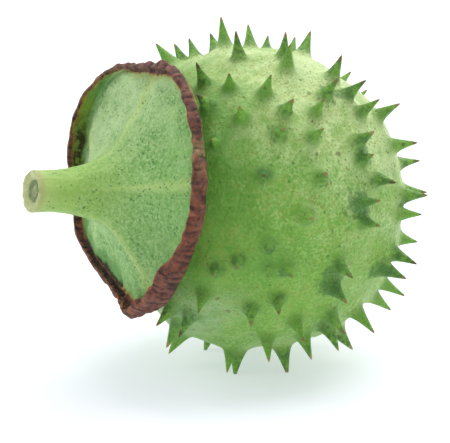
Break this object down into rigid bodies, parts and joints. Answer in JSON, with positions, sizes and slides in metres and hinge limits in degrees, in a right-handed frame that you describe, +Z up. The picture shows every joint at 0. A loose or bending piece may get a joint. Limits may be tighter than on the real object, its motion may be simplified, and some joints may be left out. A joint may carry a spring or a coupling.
{
  "type": "thorn apple seed pod",
  "caption": "Round green thorn apple capsule set with conical thorns, with its ribbed calyx collar and cut stem, lying on its side on the tips of its thorns.",
  "frame": {"origin": "on the table, under the middle of the pod's length and width", "axes": "+X from the cut stem towards the blossom end of the capsule, +Y across the pod to the side turned away, +Z up from the table"},
  "size_m": [0.0572, 0.0468, 0.0461],
  "materials": {
    "capsule_skin": "living green skin, faintly waxy, pale bloom above, dark green thorns with tan tips",
    "calyx_green": "pale green leafy sheet with dark pinprick specks, and a dry brown wrinkled margin",
    "stem_green": "satin yellow-green stalk, pale and matt on the cut end"
  },
  "bodies": {
    "root": {"capsule": "capsule_skin", "calyx": "calyx_green", "stem": "stem_green"}
  },
  "joints": []
}
